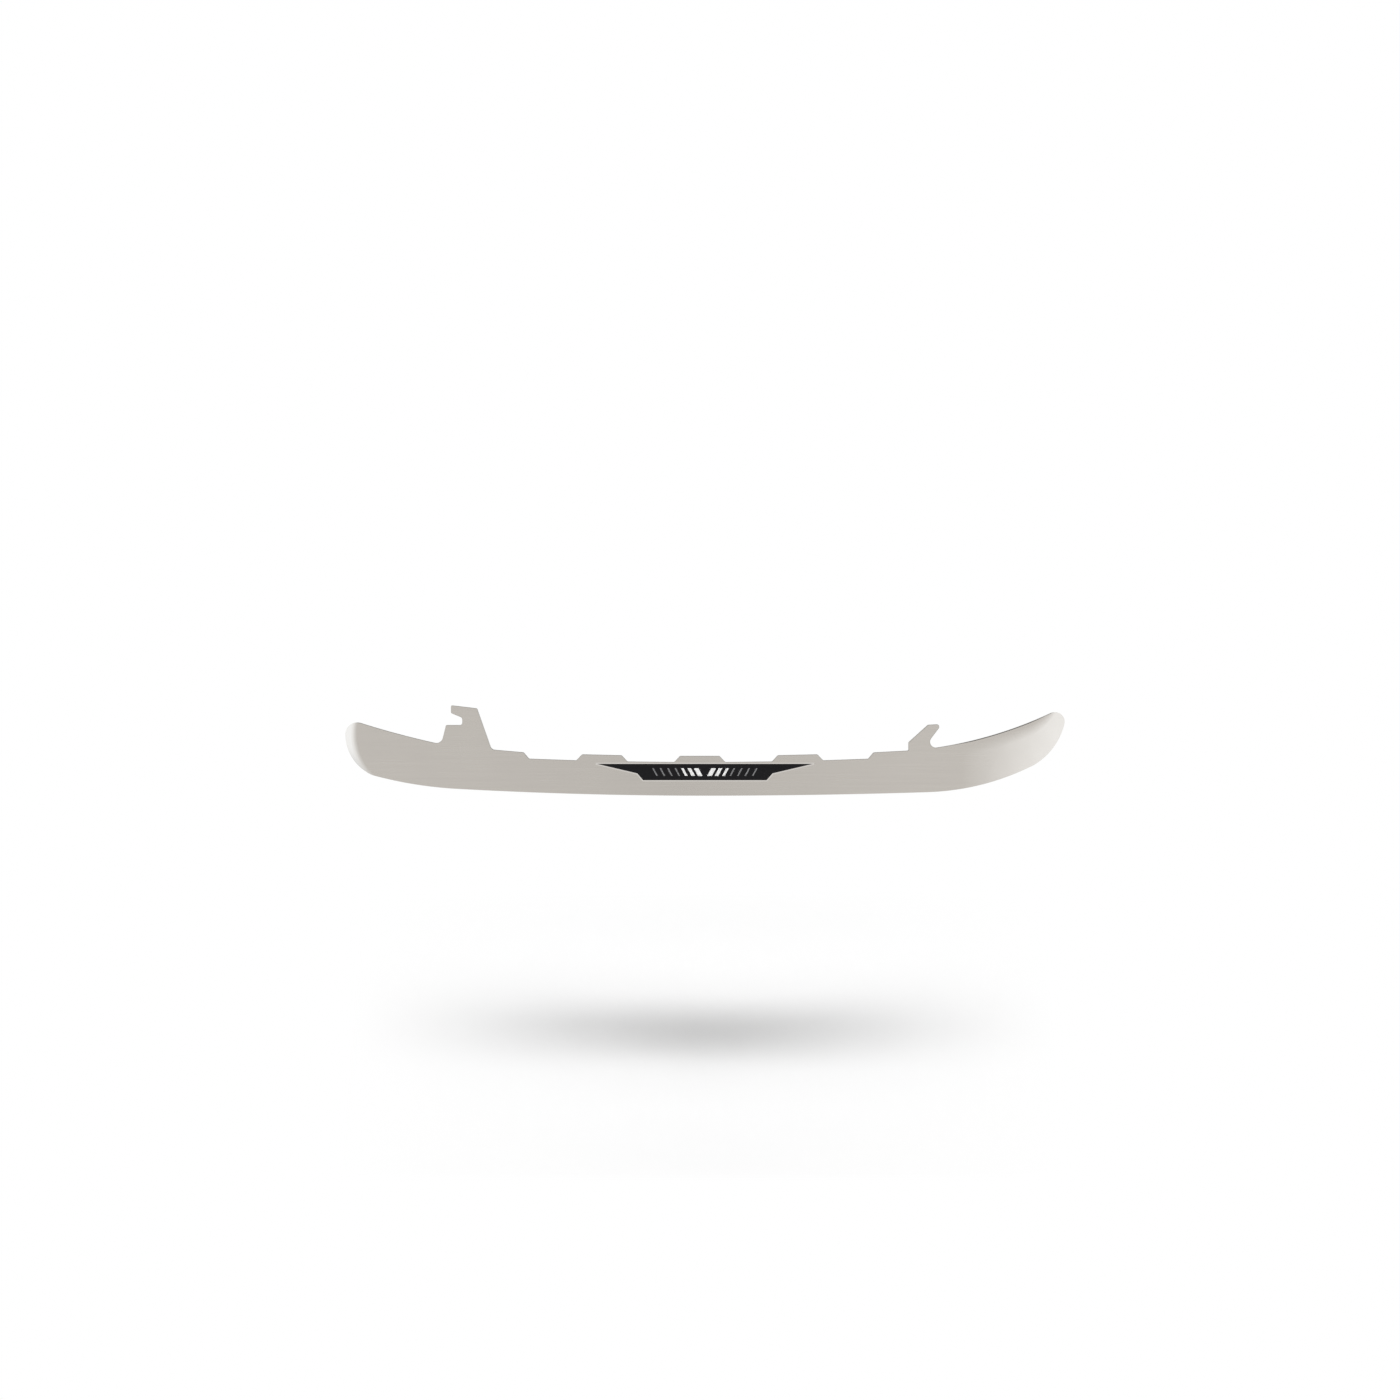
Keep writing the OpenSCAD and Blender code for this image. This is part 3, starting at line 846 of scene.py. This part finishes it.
def pale_floor(wire, stage):
    """Floor that takes the blade's shadow, and is as white as the walls further out."""
    point = object_place(wire)
    rise_middle = stage.rise_start + stage.rise_run / 2
    lit = 1.0
    for axis, middle, (reach, fade) in (("X", 0.0, SHADOW_ALONG), ("Y", rise_middle, SHADOW_ACROSS)):
        along = wire.node("ShaderNodeSeparateXYZ", None, {"Vector": point}, axis)
        off = wire.maths("ABSOLUTE", along - middle)
        lit = lit * (1.0 - ((off - reach) / fade).clamped())
    white = (1.0 - lit) * seen(wire)
    return {
        "Base Color": white.blend(tuple(stage.floor), BLACK),
        "Roughness": 1.0,
        "Specular IOR Level": 0.0,
        "Emission Color": white.blend(BLACK, tuple(stage.surround)),
        "Emission Strength": 1.0,
    }


def lay_floor(stage):
    """Plain pale floor, which rises softly behind the blade and goes on level."""
    def height(share):
        return stage.rise * share ** 2 * (3.0 - 2.0 * share)

    def back(edge):
        return all(abs(vert.co.y - stage.rise_start) < SAME_POINT for vert in edge.verts)

    bpy.ops.object.select_all(action="DESELECT")
    bpy.ops.mesh.primitive_plane_add(size=FLOOR_SIZE,
                                     location=(0.0, stage.rise_start - FLOOR_SIZE / 2, -stage.floor_drop))
    floor = bpy.context.object
    floor.name = "floor"
    bpy.ops.object.transform_apply(location=True, rotation=True, scale=True)
    with editing(floor):
        pick(floor, "EDGE", back)
        for i in range(RISE_STEPS):
            climb = height((i + 1) / RISE_STEPS) - height(i / RISE_STEPS)
            bpy.ops.mesh.extrude_region_move(
                TRANSFORM_OT_translate={"value": (0.0, stage.rise_run / RISE_STEPS, climb)})
        bpy.ops.mesh.extrude_region_move(TRANSFORM_OT_translate={"value": (0.0, FLOOR_SIZE / 2, 0.0)})
    bpy.ops.object.shade_smooth()
    floor.data.materials.append(finish("floor", pale_floor, stage))


def set_camera(stage):
    """Camera straight in front of the blade."""
    camera = bpy.data.cameras.new("camera")
    camera.lens = stage.lens
    camera.sensor_width = SENSOR_WIDTH
    distance = stage.frame_width * stage.lens / SENSOR_WIDTH
    obj = bpy.data.objects.new("camera", camera)
    obj.location = Vector(stage.aim) - Vector((0.0, distance, 0.0))
    obj.rotation_euler = (pi / 2, 0.0, 0.0)
    bpy.context.scene.collection.objects.link(obj)
    bpy.context.scene.camera = obj


class RUNNER_OT_stage(Operator):
    """Set up the floor, the light and the camera"""

    bl_idname = "runner.stage"
    bl_label = "Stage"

    def execute(self, context):
        stage = context.scene.runner_stage
        context.scene.view_settings.view_transform = "Standard"
        light_world(stage)
        lay_floor(stage)
        set_camera(stage)
        for lamp in LAMPS:
            hang(lamp)
        return {"FINISHED"}


class RUNNER_PT_panel(Panel):
    """Sizes, finishes and makers of the runner"""

    bl_idname = "RUNNER_PT_panel"
    bl_label = "Skate Runner"
    bl_space_type = "VIEW_3D"
    bl_region_type = "UI"
    bl_category = "Skate Runner"

    def draw(self, context):
        for maker, group in ((RUNNER_OT_steel, context.scene.runner_steel),
                             (RUNNER_OT_labels, context.scene.runner_labels),
                             (RUNNER_OT_stage, context.scene.runner_stage)):
            box = self.layout.box()
            box.operator(maker.bl_idname)
            for name in group.__annotations__:
                box.prop(group, name)


CLASSES = (RunnerSteel, RunnerLabels, RunnerStage,
           RUNNER_OT_steel, RUNNER_OT_labels, RUNNER_OT_stage, RUNNER_PT_panel)


def register():
    """Adds the classes to Blender, and their properties to the scene."""
    for item in CLASSES:
        bpy.utils.register_class(item)
    bpy.types.Scene.runner_steel = PointerProperty(type=RunnerSteel)
    bpy.types.Scene.runner_labels = PointerProperty(type=RunnerLabels)
    bpy.types.Scene.runner_stage = PointerProperty(type=RunnerStage)


def unregister():
    """Takes the properties and the classes out again."""
    del bpy.types.Scene.runner_steel
    del bpy.types.Scene.runner_labels
    del bpy.types.Scene.runner_stage
    for item in reversed(CLASSES):
        bpy.utils.unregister_class(item)


def main():
    """Registers the classes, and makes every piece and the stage."""
    register()
    bpy.ops.runner.steel()
    bpy.ops.runner.labels()
    bpy.ops.runner.stage()


if __name__ == "__main__":
    main()
